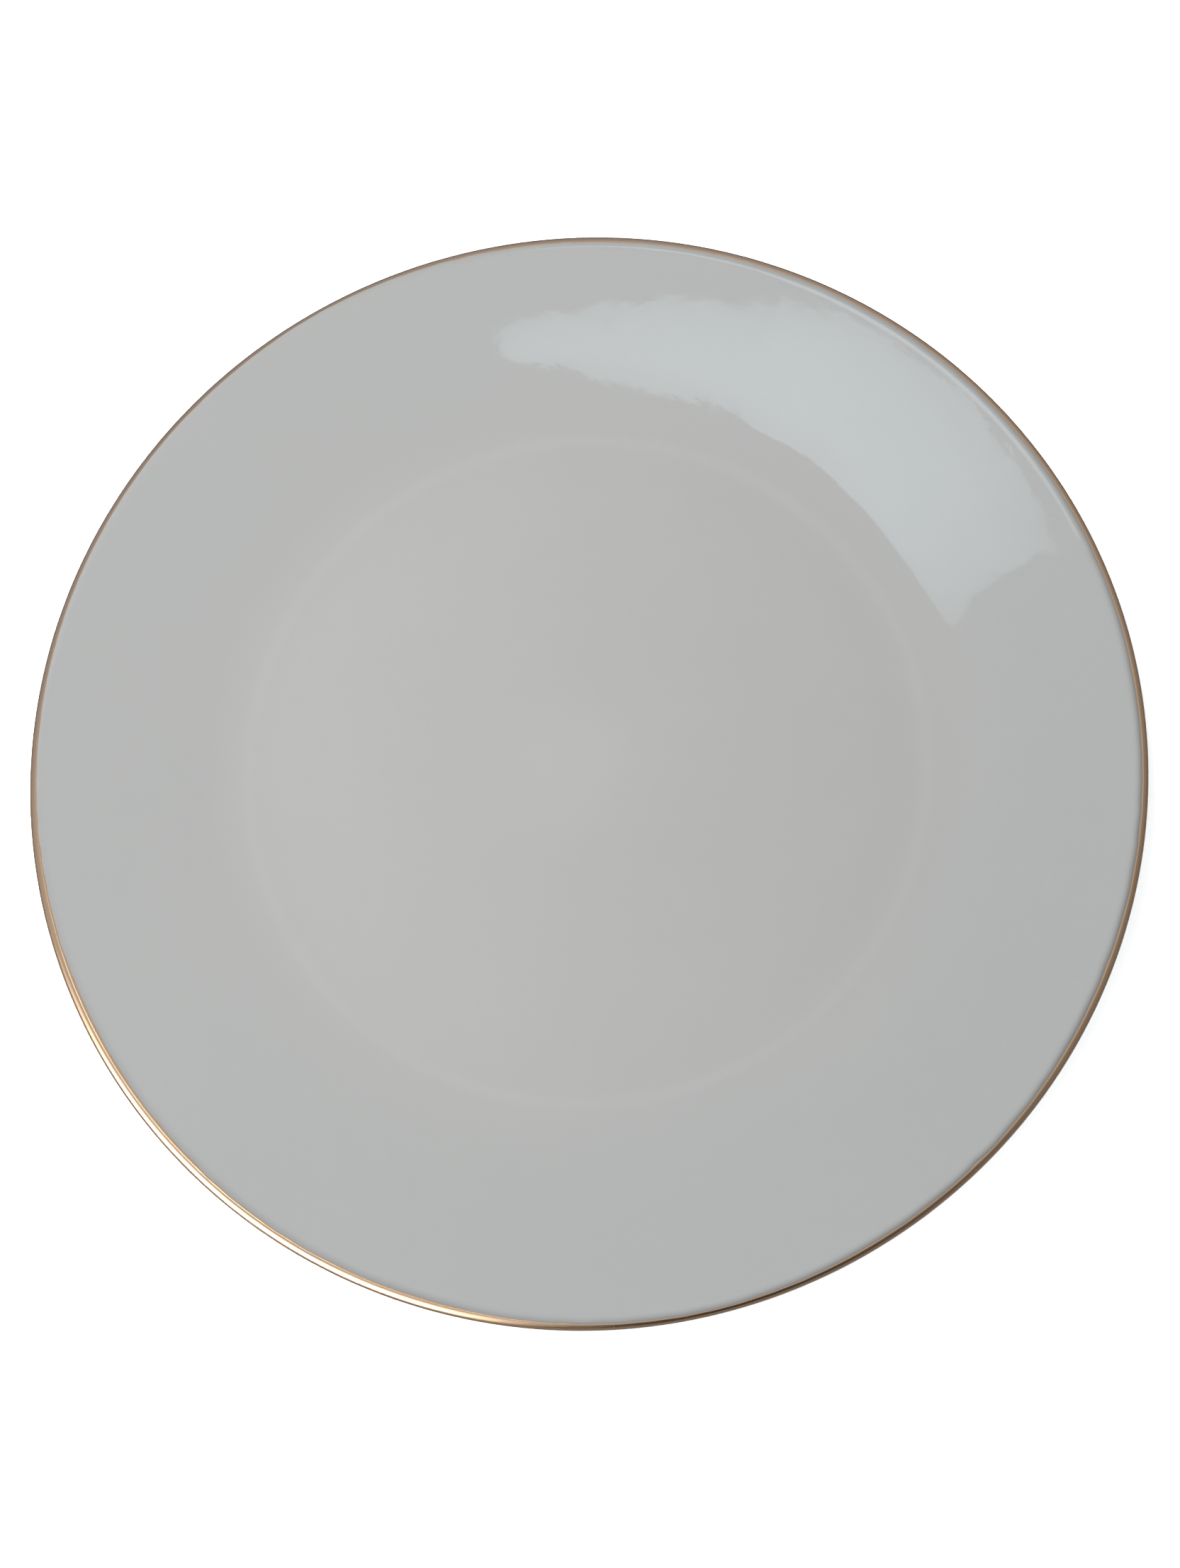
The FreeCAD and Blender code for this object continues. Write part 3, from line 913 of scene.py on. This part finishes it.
FLOOR_TURNS, FLOOR_RINGS = 96, (0, 0.2, 0.6)
FILL_MIDDLE, FILL_HALF = np.array([-0.245, 0.05, 0.55]), 0.20
LAMP_PLACE, LAMP_COLOUR = (-0.16, 0.44, 2.0), (1.0, 0.96, 0.94)
LAMP_TURNS, LAMP_RINGS, LAMP_FADE = 48, (0.0, 0.05, 0.10, 0.15), (0.85, 0.45, 0.0)
WINDOW_COLOUR = (0.78, 0.93, 1.0)
# Rows of the window from its inner edge (0) to its outer one (1), and how bright each row is.
WINDOW_ROWS, ROW_GLOW = (0.0, 0.3, 0.7, 1.0), (0.85, 1.08, 1.0, 0.75)
# Plans of both edges in shares of the window's height, and how bright each column is.
WINDOW_INNER = np.array([
    (20, -209), (14, -197), (0, -191), (-18, -188), (-59, -184), (-102, -172), (-144, -160),
    (-186, -148), (-219, -133), (-226, -130), (-257, -97), (-297, -76), (-318, -36), (-335, 5),
    (-346, 47), (-375, 78), (-400, 92), (-415, 101), (-428, 109), (-437, 114), (-444, 119),
    (-449, 122)]) / 1000
WINDOW_OUTER = np.array([
    (20, -212), (15, -223), (-1, -230), (-20, -235), (-59, -238), (-110, -244), (-163, -241),
    (-217, -232), (-261, -220), (-276, -227), (-331, -206), (-382, -175), (-428, -135),
    (-468, -88), (-502, -38), (-529, 17), (-548, 67), (-532, 70), (-511, 72), (-492, 76),
    (-474, 88), (-455, 114)]) / 1000
WINDOW_GLOW = np.array([
    1.00, 1.10, 1.15, 1.20, 1.25, 1.30, 1.35, 1.42, 1.45, 1.50, 1.50, 1.45, 1.40, 1.40, 1.30,
    1.10, 0.95, 0.90, 0.85, 0.80, 0.75, 0.70])


def disc_rings(radii, turn):
    """Flat rings at height 0: (r cos t, r sin t, 0)."""
    radius = np.array(radii)[:, None]
    return np.stack([radius * np.cos(turn), radius * np.sin(turn), 0 * radius * turn], -1)


def add_stage(name, mesh, material, seen):
    """A stage mesh; one that isn't seen still lights and is mirrored."""
    made = bpy.data.objects.new(name, mesh)
    bpy.context.scene.collection.objects.link(made)
    mesh.materials.append(material)
    made.visible_camera = seen
    return made


def add_light(name, mesh, strength, colour):
    """A light-giving mesh that isn't seen itself: strength times its glow values, if it has any."""
    made = bpy.data.materials.new(name)
    made.use_nodes = True
    made.node_tree.nodes.clear()
    tree = Tree(made.node_tree)
    if "glow" in mesh.attributes:
        glow = tree.node("ShaderNodeAttribute", attribute_name="glow").outputs["Fac"]
        strength = tree.math("MULTIPLY", glow, strength)
    light = tree.node("ShaderNodeEmission", {"Color": rgba(colour), "Strength": strength})
    tree.node("ShaderNodeOutputMaterial", {"Surface": light.outputs[0]})
    return add_stage(name, mesh, made, False)


class PLATE_OT_add_studio(bpy.types.Operator):
    """Adds the pale floor, the soft room with its window, and the camera"""

    bl_idname = "plate.add_studio"
    bl_label = "Floor, Light and Camera"

    def add_floor(self, s, colours):
        """A disc out to the room's wall; it looks paler than it lights, and is mirrored darker."""
        rings = disc_rings([*FLOOR_RINGS, s.room_radius], turns_round(FLOOR_TURNS))
        mesh = turned_mesh("floor_mesh", rings[::-1], False)
        made = bpy.data.materials.new("pale_floor")
        made.use_nodes = True
        tree = Tree(made.node_tree)
        shader = made.node_tree.nodes["Principled BSDF"]
        shader.inputs["Roughness"].default_value = 0.9
        shader.inputs["Specular IOR Level"].default_value = 0.1
        place = tree.node("ShaderNodeTexCoord").outputs["Object"]
        grain = tree.between(tree.noise(place, 9.0, 3.0), 0.3, 0.7, 0.985, 1.0)
        path = tree.node("ShaderNodeLightPath").outputs
        lift = tree.math("MULTIPLY", path["Is Camera Ray"], s.floor_lift - 1)
        drop = tree.math("MULTIPLY", path["Is Glossy Ray"], s.floor_drop)
        gain = tree.math("SUBTRACT", tree.math("ADD", lift, 1.0), drop)
        gain = tree.math("MULTIPLY", grain, gain)
        tint = tree.node(
            "ShaderNodeVectorMath", {0: colours.floor, "Scale": gain}, operation="SCALE")
        tree.put(shader.inputs["Base Color"], tint.outputs[0])
        add_stage("floor", mesh, made, True)

    def dome_mesh(self, name, radius, turn):
        """Half a ball, (r cos h cos t, r cos h sin t, r sin h), and the height h of each row."""
        height = np.radians(np.linspace(0, 90, DOME_ROWS))[:, None]
        out, up = radius * np.cos(height), radius * np.sin(height)
        rings = np.stack([out * np.cos(turn), out * np.sin(turn), up + 0 * turn], -1)
        return turned_mesh(name, rings, False), height

    def add_room(self, s):
        """A dome that only lights, brighter on one side, and one that is only mirrored.

        The second's glow is its round table low down and even overhead, smoothly joined.
        """
        turn = turns_round(DOME_TURNS)
        mesh, _ = self.dome_mesh("soft_room_mesh", s.room_radius * 1.02, turn)
        across = np.array([(v.co.x - v.co.y) / s.room_radius for v in mesh.vertices], np.float32)
        set_values(mesh, "glow", 1 + s.room_lean * across)
        room = add_light("soft_room", mesh, s.room_light, WHITE)
        room.visible_glossy = False
        mesh, height = self.dome_mesh("mirrored_room_mesh", s.room_radius, turn)
        round_glow = np.interp(turn, MIRRORED_TURNS, MIRRORED_GLOW, period=2 * math.pi)
        overhead = ramp(height, *OVERHEAD_RISE)
        set_values(mesh, "glow", round_glow * (1 - overhead) + s.overhead_glow * overhead)
        set_values(mesh, "cool", ramp(np.cos(turn - COOL_TURN), *COOL_RISE) * (1 - overhead))
        mirrored = add_light("mirrored_room", mesh, 1.0, WHITE)
        tree = Tree(mirrored.active_material.node_tree)
        share = tree.node("ShaderNodeAttribute", attribute_name="cool").outputs["Fac"]
        tint = tree.mixed(share, rgba(WHITE), COOL_TINT)
        tree.put(tree.tree.nodes["Emission"].inputs["Color"], tint)
        mirrored.visible_diffuse = False

    def add_fill(self, s):
        """A square soft panel near the plate, square to the line to its middle; it only lights."""
        back = FILL_MIDDLE / np.linalg.norm(FILL_MIDDLE)
        aside = np.cross([0.0, 1.0, 0.0], back)
        aside = aside / np.linalg.norm(aside)
        ahead = np.cross(back, aside)
        corners = [FILL_MIDDLE + FILL_HALF * (i * aside + j * ahead)
                   for i, j in ((-1, -1), (-1, 1), (1, 1), (1, -1))]
        mesh = bpy.data.meshes.new("near_fill_mesh")
        mesh.from_pydata([c.tolist() for c in corners], [], [(0, 1, 2, 3)])
        fill = add_light("near_fill", mesh, s.fill_light, WHITE)
        fill.visible_glossy = False

    def add_window(self, s):
        """A flat light overhead, row by row (1 - s) inner edge + s outer edge, times its height."""
        share = np.array(WINDOW_ROWS)[:, None, None]
        plan = (1 - share) * WINDOW_INNER + share * WINDOW_OUTER
        grid = np.append(plan, np.ones((*plan.shape[:2], 1)), axis=2) * s.window_height
        rows, columns = grid.shape[:2]
        index = np.arange(rows * columns).reshape(rows, columns)
        faces = np.stack([index[:-1, :-1], index[1:, :-1], index[1:, 1:], index[:-1, 1:]], -1)
        mesh = bpy.data.meshes.new("window_mesh")
        mesh.from_pydata(grid.reshape(-1, 3).tolist(), [], faces.reshape(-1, 4).tolist())
        set_values(mesh, "glow", np.outer(ROW_GLOW, WINDOW_GLOW))
        add_light("window", mesh, s.window_light, WINDOW_COLOUR)

    def add_lamp(self, s):
        """A weak round lamp high up, a flat disc that fades outwards to the room's brightness."""
        mesh = turned_mesh("lamp_mesh", disc_rings(LAMP_RINGS, turns_round(LAMP_TURNS)), False)
        mesh.transform(Matrix.Translation(LAMP_PLACE))
        fade = np.concatenate([[1.0], np.repeat(LAMP_FADE, LAMP_TURNS)])
        set_values(mesh, "glow", s.overhead_glow + s.lamp_light * fade)
        lamp = add_light("soft_lamp", mesh, 1.0, LAMP_COLOUR)
        lamp.visible_diffuse = False

    def add_camera(self, s):
        """Camera axes: forward to the aim, right square to it and to +Y, up square to both."""
        place, aim = Vector(s.camera_place), Vector(s.camera_aim)
        forward = (aim - place).normalized()
        right = forward.cross(Vector((0, 1, 0))).normalized()
        up = right.cross(forward)
        data = bpy.data.cameras.new("camera")
        data.lens = s.lens
        camera = bpy.data.objects.new("camera", data)
        camera.matrix_world = Matrix(
            [(*axis, 0) for axis in (right, up, -forward)] + [(*place, 1)]).transposed()
        bpy.context.scene.collection.objects.link(camera)
        bpy.context.scene.camera = camera

    def execute(self, context):
        s = context.scene.plate_studio
        self.add_floor(s, context.scene.plate_colours)
        self.add_room(s)
        self.add_fill(s)
        self.add_window(s)
        self.add_lamp(s)
        self.add_camera(s)
        world = context.scene.world or bpy.data.worlds.new("pale")
        context.scene.world = world
        world.use_nodes = True
        background = world.node_tree.nodes.get("Background")
        background.inputs["Color"].default_value = (1, 1, 1, 1)
        background.inputs["Strength"].default_value = 1.0
        context.scene.view_settings.view_transform = "Standard"
        return {"FINISHED"}


class PLATE_PT_panel(bpy.types.Panel):
    """Lists the plate's pieces and its sizes"""

    bl_idname = "PLATE_PT_panel"
    bl_label = "Dinner Plate"
    bl_space_type = "VIEW_3D"
    bl_region_type = "UI"
    bl_category = "Plate"

    def draw(self, context):
        for operator in OPERATORS:
            self.layout.operator(operator.bl_idname)
        for group in (context.scene.plate_shape, context.scene.plate_skins,
                      context.scene.plate_colours, context.scene.plate_studio):
            box = self.layout.box()
            for name in group.__annotations__:
                box.prop(group, name)


OPERATORS = (PLATE_OT_add_porcelain, PLATE_OT_add_glaze, PLATE_OT_add_gold, PLATE_OT_add_studio)
GROUPS = {"plate_shape": PlateShape, "plate_skins": PlateSkins,
          "plate_colours": PlateColours, "plate_studio": PlateStudio}
CLASSES = (*GROUPS.values(), *OPERATORS, PLATE_PT_panel)


def register():
    """Makes the classes known and hangs the four groups of settings on the scene."""
    for made in CLASSES:
        bpy.utils.register_class(made)
    for name, group in GROUPS.items():
        setattr(bpy.types.Scene, name, PointerProperty(type=group))


def unregister():
    """Takes the settings off the scene and the classes away."""
    for name in GROUPS:
        delattr(bpy.types.Scene, name)
    for made in reversed(CLASSES):
        bpy.utils.unregister_class(made)


def main():
    """Builds the plate and its stage."""
    register()
    bpy.ops.plate.add_porcelain()
    bpy.ops.plate.add_glaze()
    bpy.ops.plate.add_gold()
    bpy.ops.plate.add_studio()


if __name__ == "__main__":
    main()
